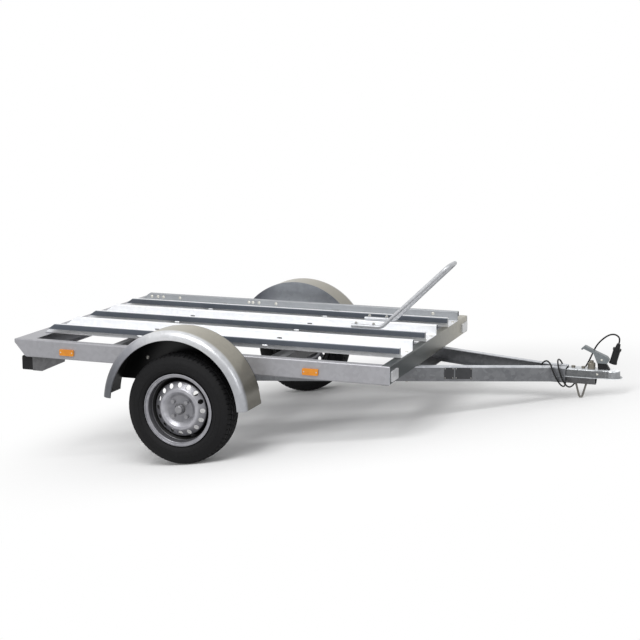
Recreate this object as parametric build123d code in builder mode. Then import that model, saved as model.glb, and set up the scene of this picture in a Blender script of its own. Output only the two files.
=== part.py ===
from build123d import *
import math
import os

# Motorcycle trailer for three machines: a low galvanised frame with three wheel channels, an
# unbraked rubber-torsion axle with 13-inch steel wheels, and a V drawbar with a ball coupling.
#
# The trailer is drawn level, in millimetres: X forward from the axle, Y to its left, Z up from the
# wheel centres. It parks nose down, on both tyres and the wire foot under its coupling, so every
# piece is then tipped about the axle and set on the floor, with the origin under the middle.

os.makedirs("parts", exist_ok=True)

# Frame
SHEET = 3.0
FOLD_RADIUS = 5.0
FRAME_WIDTH = 1460.0
FRAME_FRONT = 1020.0
FRAME_REAR = -1008.0
FRAME_BOTTOM = 166.0
FRAME_HEIGHT = 92.0
RAIL_FLANGE = 40.0
CROSS_FLANGE = 40.0
TAIL_FLANGE = 107.0
TAIL_LIP = 19.0
TAIL_SLOPE_RUN = 64.0
TAIL_FOOT = 40.0
BEARER_HEIGHT = 60.0
BEARER_FLANGE = 35.0
BEARER_PLACES = {"front_bearer": 480.0, "rear_bearer": -420.0}

# Wheel channels
CHANNEL_SHEET = 2.0
CHANNEL_FLOOR = 196.0
CHANNEL_WALL = 54.0
CHANNEL_LIP = 22.0
CHANNEL_DROP = 28.0
CHANNEL_SPACING = 435.0
CHANNEL_REAR_SETBACK = 64.0
CHANNEL_TOP_SETBACK = 72.0
CHANNEL_FRONT_SETBACK = 4.0
STRAP_SLOT_LENGTH = 28.0
STRAP_SLOT_HEIGHT = 7.0
STRAP_SLOT_PLACES = (-385.0, 310.0)

# Wheel-stop hoop on the middle channel
HOOP_TUBE = 20.0
HOOP_SETBACK = 400.0
HOOP_FOOT = 163.0
HOOP_REACH = 342.0
HOOP_RISE = 330.0
HOOP_TOP_WIDTH = 150.0
HOOP_FOOT_BEND = 45.0
HOOP_BOLT_PLACES = (25.0, 120.0)
HOOP_BOLT = 8.0

# Drawbar
BEAM_HEIGHT = 75.0
BEAM_FLANGE = 38.0
BEAM_TAIL = 32.0
BEAM_CLEARANCE = 106.21587
BEAM_REACH = 630.0
NOSE_LENGTH = 72.0
NOSE_HALF_WIDTH = 47.0
NOSE_TUBE = 70.0
NOSE_TUBE_WALL = 4.0
NOSE_TUBE_LENGTH = 216.0
NOSE_TUBE_REACH = 144.0
NOSE_TUBE_DROP = 49.0
TIE_PLATE = 4.0
TIE_LENGTH = 85.0
TIE_SETBACK = 10.0

# Coupling
BALL = 50.0
COUPLING_LENGTH = 223.0
COUPLING_TOP = 163.0
COUPLING_RIM = 122.0
COUPLING_SHEET = 5.0
COUPLING_HALF_WIDTH = 41.0
COUPLING_WAIST = 32.0
COUPLING_TAPER = 6.0
SADDLE_PLACES = (30.0, 80.0)
SADDLE = 16.0
COUPLING_FLANGE = 9.0
CLAMP_SETBACK = 103.0
HANDLE_SHEET = 4.0
HANDLE_WIDTH = 34.0

# Parking foot
FOOT_ROD = 10.0
FOOT_REACH = 71.0
FOOT_WIDTH = 50.0
FOOT_LOWEST = 10.0
FOOT_BEND = 9.0

# Axle
AXLE_TUBE = 60.0
AXLE_X = 110.0
AXLE_WALL = 6.0
AXLE_INSET = 14.0
AXLE_PAD = 6.0
ARM_THICKNESS = 22.0
ARM_GAP = 4.0
ARM_EYE = 66.0
STUB = 30.0
STUB_REACH = 43.0
HANGER_LENGTH = 130.0
HANGER_SHEET = 6.0

# Wheels: 155/70 R13 tyre on a 4.5 B x 13 pressed steel wheel
WHEEL_OUTBOARD = 101.0
TYRE_DIAMETER = 547.0
TYRE_WIDTH = 157.0
TREAD_WIDTH = 118.0
RIM_SEAT = 330.2
RIM_WIDTH = 114.0
RIM_FLANGE = 358.0
RIM_SHEET = 4.0
RIM_WELL = 288.0
RIM_FIT = 0.3
WHEEL_OFFSET = 30.0
DISC_CREST = 47.0
DISC_CREST_DIAMETER = 186.0
DISC_BOWL = 144.0
VENT_COUNT = 16
VENT_HOLE = 24.0
VENT_CIRCLE = 238.0
BOLT_CIRCLE = 100.0
BOLT_COUNT = 4
WHEEL_BOLT = 12.0
WHEEL_BOLT_HEAD = 20.0
HUB_FLANGE = 132.0
HUB_BODY = 66.0
HUB_DEPTH = 62.0
HUB_FLANGE_SHEET = 10.0
HUB_FIT = 0.4
CAP_DIAMETER = 50.0
CAP_TAPER = 12.0
CAP_LENGTH = 30.0

# Fenders
FENDER_SHEET = 2.0
FENDER_RADIUS = 385.0
FENDER_CENTRE_X = -14.0
FENDER_CENTRE_Z = 8.0
FENDER_WIDTH = 196.0
FENDER_BEAD = 32.0
FENDER_LIP_DROP = 44.0
FENDER_HEM = 9.0
FENDER_FRONT_ANGLE = 3.0
FENDER_REAR_ANGLE = 5.0
FENDER_WALL_BOTTOM = 100.0

# Lamps and reflectors
LAMP_DEPTH = 62.0
LAMP_WIDTH = 210.0
LAMP_HEIGHT = 84.0
LAMP_SETBACK = 30.0
LAMP_TOP = 176.0
LAMP_LENS = 10.0
LAMP_FRAME = 5.0
LAMP_INSET = 18.0
BRACKET_SHEET = 3.0
BRACKET_HEEL = 55.0
BRACKET_REACH = 190.0
BRACKET_TOE = 14.0
SIDE_REFLECTOR = (80.0, 32.0, 9.0)
SIDE_REFLECTOR_PLACES = (-700.0, 626.0)
FRONT_REFLECTOR = (100.0, 50.0, 8.0)
FRONT_REFLECTOR_INSET = 23.0
REFLECTOR_DROP = 8.0

# Trailer cable with its round plug
CABLE = 8.0
GLAND_SEAT = 6.0
PLUG_DIAMETER = 42.0

SIDES = (("left", 1), ("right", -1))

# Places that follow from the sizes
FRAME_TOP = FRAME_BOTTOM + FRAME_HEIGHT
HALF_FRAME = FRAME_WIDTH / 2
INSIDE = HALF_FRAME - SHEET
CHANNEL_REAR = FRAME_REAR + CHANNEL_REAR_SETBACK
HOOP_HEEL = FRAME_FRONT - HOOP_SETBACK
HOOP_TOE = HOOP_HEEL + HOOP_FOOT
BEAM_REAR = AXLE_X + BEAM_TAIL
BEAM_JOIN = FRAME_FRONT + BEAM_REACH
BEAM_NOSE = BEAM_JOIN + NOSE_LENGTH
NOSE_TUBE_FRONT = BEAM_NOSE + NOSE_TUBE_REACH
TIE_FRONT = FRAME_FRONT - TIE_SETBACK
TIE_REAR = TIE_FRONT - TIE_LENGTH
BALL_X = BEAM_NOSE + COUPLING_LENGTH
FOOT_X = BEAM_NOSE + FOOT_REACH
AXLE_HALF_LENGTH = HALF_FRAME - AXLE_INSET
WHEEL_CENTRE = HALF_FRAME + WHEEL_OUTBOARD
STUB_END = WHEEL_CENTRE + STUB_REACH
TYRE_RADIUS = TYRE_DIAMETER / 2
FENDER_OUTSIDE = HALF_FRAME + FENDER_WIDTH
LAMP_OUTER = HALF_FRAME - LAMP_INSET
LAMP_REAR = FRAME_REAR + LAMP_SETBACK

# The parked attitude: the wire foot's bend and the tyres touch one floor.
foot_centre = FOOT_LOWEST + FOOT_ROD / 2 + FOOT_BEND
foot_reach = math.hypot(FOOT_X, foot_centre)
foot_drop = TYRE_RADIUS - FOOT_BEND - FOOT_ROD / 2
PARK_ANGLE = math.degrees(math.atan2(foot_centre, FOOT_X) + math.asin(foot_drop / foot_reach))

pieces = {}


def keep(name, solid):
    """Tip a finished piece about the axle to the parked attitude, and keep it by its name."""
    pieces[name] = solid.rotate(Axis.Y, PARK_ANGLE)


def cross_sheet(points, half_span):
    """A folded sheet that runs across the frame, from its mid-line in X and Z."""
    with BuildPart() as sheet:
        with BuildSketch(Plane.XZ):
            with BuildLine():
                FilletPolyline(*points, radius=FOLD_RADIUS)
            trace(line_width=SHEET)
        extrude(amount=half_span, both=True)
    return sheet.part


# Side rails: channels open inwards, with the tail cut to a beak and the front coped for the
# front crossmember
for side, hand in SIDES:
    web = hand * (FRAME_WIDTH - SHEET) / 2
    edge = hand * (FRAME_WIDTH / 2 - RAIL_FLANGE)
    top = FRAME_TOP - SHEET / 2
    bottom = FRAME_BOTTOM + SHEET / 2
    with BuildPart() as rail:
        with BuildSketch(Plane.YZ.offset(FRAME_REAR)):
            with BuildLine():
                FilletPolyline((edge, top), (web, top), (web, bottom), (edge, bottom), radius=FOLD_RADIUS)
            trace(line_width=SHEET)
        extrude(amount=FRAME_FRONT - FRAME_REAR)
        with BuildSketch(Plane.XZ):
            with BuildLine():
                Polyline(
                    (FRAME_REAR - 1, FRAME_TOP - TAIL_LIP),
                    (FRAME_REAR, FRAME_TOP - TAIL_LIP),
                    (FRAME_REAR + TAIL_SLOPE_RUN, FRAME_BOTTOM),
                    (FRAME_REAR + TAIL_SLOPE_RUN, FRAME_BOTTOM - 1),
                    (FRAME_REAR - 1, FRAME_BOTTOM - 1),
                    close=True,
                )
            make_face()
        extrude(amount=FRAME_WIDTH, both=True, mode=Mode.SUBTRACT)
        for cope_x, cope_length in (
            (FRAME_FRONT, 2 * CROSS_FLANGE),
            (FRAME_REAR, 2 * TAIL_FLANGE),
        ):
            with Locations((cope_x, 0, FRAME_BOTTOM + FRAME_HEIGHT / 2)):
                Box(cope_length, 2 * INSIDE, 2 * FRAME_HEIGHT, mode=Mode.SUBTRACT)
    keep(f"side_rail_{side}", rail.part)

# Front crossmember: a channel open to the rear
front_web = FRAME_FRONT - SHEET / 2
front_edge = FRAME_FRONT - CROSS_FLANGE
keep(
    "front_crossmember",
    cross_sheet(
        [
            (front_edge, FRAME_TOP - SHEET / 2),
            (front_web, FRAME_TOP - SHEET / 2),
            (front_web, FRAME_BOTTOM + SHEET / 2),
            (front_edge, FRAME_BOTTOM + SHEET / 2),
        ],
        INSIDE,
    ),
)

# Rear crossmember: a wide loading edge on top, a short lip, and a web that slopes in below it
tail_mid = FRAME_REAR + SHEET / 2
keep(
    "rear_crossmember",
    cross_sheet(
        [
            (FRAME_REAR + TAIL_FLANGE, FRAME_TOP - SHEET / 2),
            (tail_mid, FRAME_TOP - SHEET / 2),
            (tail_mid, FRAME_TOP - TAIL_LIP),
            (tail_mid + TAIL_SLOPE_RUN, FRAME_BOTTOM + SHEET / 2),
            (tail_mid + TAIL_SLOPE_RUN + TAIL_FOOT, FRAME_BOTTOM + SHEET / 2),
        ],
        INSIDE,
    ),
)

# Bearers that carry the channels between the ends, coped under the rails' top flanges
for name, place in BEARER_PLACES.items():
    with BuildPart() as bearer:
        with BuildSketch(Plane.XZ):
            with BuildLine():
                FilletPolyline(
                    (place - BEARER_FLANGE, FRAME_TOP - SHEET / 2),
                    (place, FRAME_TOP - SHEET / 2),
                    (place, FRAME_TOP - BEARER_HEIGHT),
                    (place - BEARER_FLANGE, FRAME_TOP - BEARER_HEIGHT),
                    radius=FOLD_RADIUS,
                )
            trace(line_width=SHEET)
        extrude(amount=INSIDE, both=True)
        for side, hand in SIDES:
            with Locations((place, hand * FRAME_WIDTH / 2, FRAME_TOP)):
                Box(4 * BEARER_FLANGE, 2 * RAIL_FLANGE, 2 * (SHEET + FOLD_RADIUS), mode=Mode.SUBTRACT)
    keep(name, bearer.part)

# Wheel channels: flat floor, upright walls, and lips turned out and down
channel_front = FRAME_FRONT - CHANNEL_FRONT_SETBACK
channel_length = channel_front - CHANNEL_REAR
half_wall = CHANNEL_FLOOR / 2 + CHANNEL_SHEET / 2
half_lip = half_wall + CHANNEL_LIP
channel_low = FRAME_TOP + CHANNEL_SHEET / 2
channel_high = FRAME_TOP + CHANNEL_WALL - CHANNEL_SHEET / 2
channel_top = FRAME_TOP + CHANNEL_WALL
CHANNELS = (("left", CHANNEL_SPACING), ("centre", 0.0), ("right", -CHANNEL_SPACING))
for side, middle in CHANNELS:
    with BuildPart() as channel:
        with BuildSketch(Plane.YZ.offset(CHANNEL_REAR)):
            with BuildLine():
                FilletPolyline(
                    (middle - half_lip, channel_top - CHANNEL_DROP),
                    (middle - half_lip, channel_high),
                    (middle - half_wall, channel_high),
                    (middle - half_wall, channel_low),
                    (middle + half_wall, channel_low),
                    (middle + half_wall, channel_high),
                    (middle + half_lip, channel_high),
                    (middle + half_lip, channel_top - CHANNEL_DROP),
                    radius=FOLD_RADIUS,
                )
            trace(line_width=CHANNEL_SHEET)
        extrude(amount=channel_length)
        with BuildSketch(Plane.XZ.offset(-middle)):
            with BuildLine():
                Polyline(
                    (CHANNEL_REAR - 1, FRAME_TOP + CHANNEL_SHEET),
                    (CHANNEL_REAR, FRAME_TOP + CHANNEL_SHEET),
                    (CHANNEL_REAR + CHANNEL_TOP_SETBACK, channel_top),
                    (CHANNEL_REAR + CHANNEL_TOP_SETBACK, channel_top + 1),
                    (CHANNEL_REAR - 1, channel_top + 1),
                    close=True,
                )
            make_face()
        extrude(amount=CHANNEL_FLOOR, both=True, mode=Mode.SUBTRACT)
        for place in STRAP_SLOT_PLACES:
            with BuildSketch(Plane.XZ.offset(-middle)):
                with Locations((place, FRAME_TOP + CHANNEL_WALL / 3)):
                    SlotOverall(STRAP_SLOT_LENGTH, STRAP_SLOT_HEIGHT)
            extrude(amount=CHANNEL_FLOOR, both=True, mode=Mode.SUBTRACT)
    keep(f"wheel_channel_{side}", channel.part)

# Wheel-stop hoop: one bent tube, its feet bolted to the lips of the middle channel
lip_middle = (half_wall + half_lip) / 2
hoop_level = channel_top + HOOP_TUBE / 2
hoop_top_x = HOOP_TOE + HOOP_REACH
hoop_top_z = hoop_level + HOOP_RISE
with BuildPart() as hoop:
    with BuildLine() as hoop_line:
        FilletPolyline(
            (HOOP_HEEL, -lip_middle, hoop_level),
            (HOOP_TOE, -lip_middle, hoop_level),
            (hoop_top_x, -HOOP_TOP_WIDTH / 2, hoop_top_z),
            (hoop_top_x, HOOP_TOP_WIDTH / 2, hoop_top_z),
            (HOOP_TOE, lip_middle, hoop_level),
            (HOOP_HEEL, lip_middle, hoop_level),
            radius=HOOP_FOOT_BEND,
        )
    with BuildSketch(Plane(origin=(HOOP_HEEL, -lip_middle, hoop_level), z_dir=(1, 0, 0))):
        Circle(HOOP_TUBE / 2)
    sweep()
    with Locations(*[
        (HOOP_HEEL + place, hand * lip_middle, hoop_level + HOOP_TUBE / 2 - 1)
        for place in HOOP_BOLT_PLACES
        for side, hand in SIDES
    ]):
        Cylinder(HOOP_BOLT, 6, align=(Align.CENTER, Align.CENTER, Align.MIN))
keep("wheel_hoop", hoop.part)

# Drawbar: two channels open inwards that lie under the frame and close to a nose
beam_top = FRAME_BOTTOM
beam_bottom = FRAME_BOTTOM - BEAM_HEIGHT
nose_z = FRAME_BOTTOM - NOSE_TUBE_DROP
hanger_inner = HALF_FRAME - RAIL_FLANGE - HANGER_SHEET / 2
rear_half_spread = hanger_inner - BEAM_CLEARANCE
spread_rate = (rear_half_spread - NOSE_HALF_WIDTH) / (BEAM_JOIN - BEAM_REAR)
for side, hand in SIDES:
    with BuildPart() as beam:
        with BuildSketch(Plane.XY.offset(beam_bottom)):
            with BuildLine():
                Polyline(
                    (BEAM_REAR, hand * rear_half_spread),
                    (BEAM_JOIN, hand * NOSE_HALF_WIDTH),
                    (BEAM_NOSE, hand * NOSE_HALF_WIDTH),
                    (BEAM_NOSE, hand * (NOSE_HALF_WIDTH - BEAM_FLANGE)),
                    (BEAM_JOIN, hand * (NOSE_HALF_WIDTH - BEAM_FLANGE)),
                    (BEAM_REAR, hand * (rear_half_spread - BEAM_FLANGE)),
                    close=True,
                )
            make_face()
        extrude(amount=BEAM_HEIGHT)
        with BuildSketch(Plane.XY.offset(beam_bottom + SHEET)):
            with BuildLine():
                Polyline(
                    (BEAM_REAR - 1, hand * (rear_half_spread - SHEET)),
                    (BEAM_JOIN, hand * (NOSE_HALF_WIDTH - SHEET)),
                    (BEAM_NOSE + 1, hand * (NOSE_HALF_WIDTH - SHEET)),
                    (BEAM_NOSE + 1, -hand * BEAM_FLANGE),
                    (BEAM_REAR - 1, -hand * BEAM_FLANGE),
                    close=True,
                )
            make_face()
        extrude(amount=BEAM_HEIGHT - 2 * SHEET, mode=Mode.SUBTRACT)
        with Locations((NOSE_TUBE_FRONT, 0, nose_z)):
            Cylinder(
                NOSE_TUBE / 2,
                NOSE_TUBE_LENGTH + SHEET,
                rotation=(0, -90, 0),
                align=(Align.CENTER, Align.CENTER, Align.MIN),
                mode=Mode.SUBTRACT,
            )
    keep(f"drawbar_beam_{side}", beam.part)

# Nose tube between the beams, which the coupling is bolted to
with BuildPart() as nose:
    with BuildSketch(Plane.YZ.offset(NOSE_TUBE_FRONT - NOSE_TUBE_LENGTH)):
        with Locations((0, nose_z)):
            Circle(NOSE_TUBE / 2)
            Circle(NOSE_TUBE / 2 - NOSE_TUBE_WALL, mode=Mode.SUBTRACT)
    extrude(amount=NOSE_TUBE_LENGTH)
keep("nose_tube", nose.part)

# Tie plate on the beams' bottom flanges, under the front crossmember
tie_rear_half = NOSE_HALF_WIDTH + spread_rate * (BEAM_JOIN - TIE_REAR) - 2 * SHEET
tie_front_half = NOSE_HALF_WIDTH + spread_rate * (BEAM_JOIN - TIE_FRONT) - 2 * SHEET
with BuildPart() as tie:
    with BuildSketch(Plane.XY.offset(beam_bottom + SHEET)):
        with BuildLine():
            Polyline(
                (TIE_REAR, tie_rear_half),
                (TIE_FRONT, tie_front_half),
                (TIE_FRONT, -tie_front_half),
                (TIE_REAR, -tie_rear_half),
                close=True,
            )
        make_face()
    extrude(amount=TIE_PLATE)
keep("tie_plate", tie.part)

# Coupling: a pressed steel body with a waist behind the ball cup, a flange along its rim, and
# two saddles inside that sit on the nose tube
cup_front = BALL_X - COUPLING_HALF_WIDTH


def coupling_outline(grow):
    """The body's outline seen from above, larger all round by a margin."""
    rear_half = COUPLING_HALF_WIDTH + grow
    waist_half = COUPLING_WAIST + grow
    with BuildSketch(Plane.XY.offset(COUPLING_RIM)) as outline:
        with BuildLine():
            Polyline(
                (BEAM_NOSE, -rear_half),
                (cup_front - COUPLING_HALF_WIDTH, -rear_half),
                (cup_front - 4, -waist_half),
                (BALL_X, -waist_half),
                (BALL_X, waist_half),
                (cup_front - 4, waist_half),
                (cup_front - COUPLING_HALF_WIDTH, rear_half),
                (BEAM_NOSE, rear_half),
                close=True,
            )
        make_face()
        with Locations((BALL_X, 0)):
            Circle(COUPLING_HALF_WIDTH + grow)
        bends = outline.vertices().filter_by_position(Axis.X, BEAM_NOSE + 1, BALL_X)
        fillet(bends, COUPLING_HALF_WIDTH / 3)
    return outline.sketch


body_outline = coupling_outline(0)
flange_outline = coupling_outline(COUPLING_FLANGE)
pocket_ends = [BEAM_NOSE - 1]
for place in SADDLE_PLACES:
    pocket_ends += [BEAM_NOSE + place - SADDLE / 2, BEAM_NOSE + place + SADDLE / 2]
pocket_ends += [cup_front - 4]
with BuildPart() as coupling:
    extrude(body_outline, amount=COUPLING_TOP - COUPLING_RIM, taper=COUPLING_TAPER)
    shoulder = coupling.part.edges().group_by(Axis.Z)[-1]
    fillet(shoulder, COUPLING_HALF_WIDTH / 4)
    extrude(flange_outline, amount=COUPLING_SHEET)
    with BuildSketch(Plane.XY.offset(COUPLING_RIM)):
        for start, end in zip(pocket_ends[::2], pocket_ends[1::2]):
            with Locations(((start + end) / 2, 0)):
                Rectangle(end - start, 2 * (COUPLING_WAIST - COUPLING_SHEET))
    extrude(amount=COUPLING_TOP - COUPLING_RIM - COUPLING_SHEET, taper=COUPLING_TAPER, mode=Mode.SUBTRACT)
    with Locations((BEAM_NOSE - 1, 0, nose_z)):
        Cylinder(
            NOSE_TUBE / 2,
            NOSE_TUBE_REACH + 2,
            rotation=(0, 90, 0),
            align=(Align.CENTER, Align.CENTER, Align.MIN),
            mode=Mode.SUBTRACT,
        )
    with Locations((BALL_X, 0, COUPLING_RIM)):
        Sphere(BALL / 2 + 1, mode=Mode.SUBTRACT)
        Cylinder(BALL / 2 + 1, BALL, mode=Mode.SUBTRACT, align=(Align.CENTER, Align.CENTER, Align.MAX))
keep("coupling_body", coupling.part)

# Coupling handle: a folded lever over the cup, with a hooked grip that points back and up. It,
# the latch and the bolts are drawn from the body's top above the ball.
over_ball = Plane(origin=(BALL_X, 0, COUPLING_TOP), x_dir=(1, 0, 0), z_dir=(0, -1, 0))
with BuildPart() as handle:
    with BuildSketch(over_ball):
        with BuildLine():
            FilletPolyline(
                (-74, 31),
                (-85, 59),
                (-93, 77),
                (-143, 99),
                (-149, 92),
                (-156, 98),
                (-139, 114),
                (-129, 111),
                (-87, 90),
                (-27, 65),
                (-15, 51),
                (-25, 31),
                close=True,
                radius=2,
            )
        make_face()
    extrude(amount=HANDLE_WIDTH / 2, both=True)
    with BuildSketch(over_ball):
        with BuildLine():
            Polyline(
                (-195, 27),
                (-71, 27),
                (-69, 34),
                (-87, 77),
                (-32, 55),
                (-25, 45),
                (-29, 27),
                (-5, 27),
                (-5, -3),
                (-195, -3),
                close=True,
            )
        make_face()
    extrude(amount=HANDLE_WIDTH / 2 - HANDLE_SHEET, both=True, mode=Mode.SUBTRACT)
keep("coupling_handle", handle.part)

# Latch under the handle, the clamping bolt behind it, and the bolts through the nose tube
with BuildPart() as latch:
    with BuildSketch(over_ball):
        with BuildLine():
            Polyline((-69, 0), (-73, 31), (-31, 31), (-11, 0), close=True)
        make_face()
    extrude(amount=12, both=True)
keep("coupling_latch", latch.part)

with BuildPart() as clamp:
    with Locations((BALL_X - CLAMP_SETBACK, 0, COUPLING_TOP)):
        Cylinder(19, 30, align=(Align.CENTER, Align.CENTER, Align.MIN))
    fillet(clamp.part.edges().group_by(Axis.Z)[-1], 6)
    with Locations((BALL_X - CLAMP_SETBACK, 0, COUPLING_TOP + 30)):
        Cylinder(10, 10, align=(Align.CENTER, Align.CENTER, Align.MIN))
    for place in SADDLE_PLACES:
        with BuildSketch(Plane.XY.offset(COUPLING_TOP)):
            with Locations((BEAM_NOSE + place, 0)):
                RegularPolygon(10, 6)
        extrude(amount=8)
keep("coupling_bolts", clamp.part)

# Parking foot: a rod bent to a V, welded under the nose tube
foot_rise = nose_z - NOSE_TUBE / 2 - foot_centre
foot_lean = math.atan2(FOOT_WIDTH / 2, foot_rise)
foot_lean -= math.asin(FOOT_BEND / math.hypot(FOOT_WIDTH / 2, foot_rise))
foot_corner = foot_centre - FOOT_BEND / math.sin(foot_lean)
foot_top = nose_z - NOSE_TUBE / 3
foot_half = (foot_top - foot_corner) * math.tan(foot_lean)
with BuildPart() as foot:
    with BuildLine() as foot_line:
        FilletPolyline(
            (FOOT_X - foot_half, 0, foot_top),
            (FOOT_X, 0, foot_corner),
            (FOOT_X + foot_half, 0, foot_top),
            radius=FOOT_BEND,
        )
    with BuildSketch(foot_line.line ^ 0):
        Circle(FOOT_ROD / 2)
    sweep()
    with Locations((FOOT_X, 0, nose_z)):
        Cylinder(NOSE_TUBE / 2, 2 * FOOT_WIDTH, rotation=(0, 90, 0), mode=Mode.SUBTRACT)
keep("parking_foot", foot.part)

# Axle: a square tube under the drawbar beams, hung from the rails by folded hangers
tube_top = beam_bottom - AXLE_PAD
axle_z = tube_top - AXLE_TUBE / 2
with BuildPart() as axle:
    with BuildSketch(Plane.XZ.offset(-AXLE_HALF_LENGTH)):
        with Locations((AXLE_X, axle_z)):
            RectangleRounded(AXLE_TUBE, AXLE_TUBE, 8)
            Rectangle(AXLE_TUBE - 2 * AXLE_WALL, AXLE_TUBE - 2 * AXLE_WALL, mode=Mode.SUBTRACT)
    extrude(amount=2 * AXLE_HALF_LENGTH)
keep("axle_tube", axle.part)

# Hangers: an upright plate on each rail's inner face, down to a seat on the axle tube
for side, hand in SIDES:
    hanger_face = hand * (FRAME_WIDTH / 2 - RAIL_FLANGE)
    with BuildPart() as hanger:
        with BuildSketch(Plane.YZ.offset(AXLE_X - HANGER_LENGTH / 2)):
            with BuildLine():
                FilletPolyline(
                    (hand * INSIDE, FRAME_BOTTOM - HANGER_SHEET / 2),
                    (hanger_face, FRAME_BOTTOM - HANGER_SHEET / 2),
                    (hanger_face, tube_top + HANGER_SHEET / 2),
                    (hand * AXLE_HALF_LENGTH, tube_top + HANGER_SHEET / 2),
                    radius=FOLD_RADIUS + 2,
                )
            trace(line_width=HANGER_SHEET)
        extrude(amount=HANGER_LENGTH)
    keep(f"axle_hanger_{side}", hanger.part)

# Trailing arms, each with its stub axle
arm_inner = AXLE_HALF_LENGTH + ARM_GAP
arm_outer = arm_inner + ARM_THICKNESS
for side, hand in SIDES:
    arm_plane = Plane.XZ.offset(-hand * arm_inner)
    with BuildPart() as arm:
        with BuildSketch(arm_plane):
            with Locations((AXLE_X, axle_z)):
                Circle(ARM_EYE / 2)
            Circle(ARM_EYE / 2 - 4)
            make_hull()
        extrude(amount=-hand * ARM_THICKNESS)
        with BuildSketch(arm_plane):
            with Locations((AXLE_X, axle_z)):
                Circle(AXLE_TUBE / 2 - AXLE_WALL - 1)
        extrude(amount=hand * 40)
        with BuildSketch(arm_plane):
            Circle(STUB / 2)
        extrude(amount=-hand * (STUB_END - arm_inner))
    keep(f"trailing_arm_{side}", arm.part)

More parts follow.
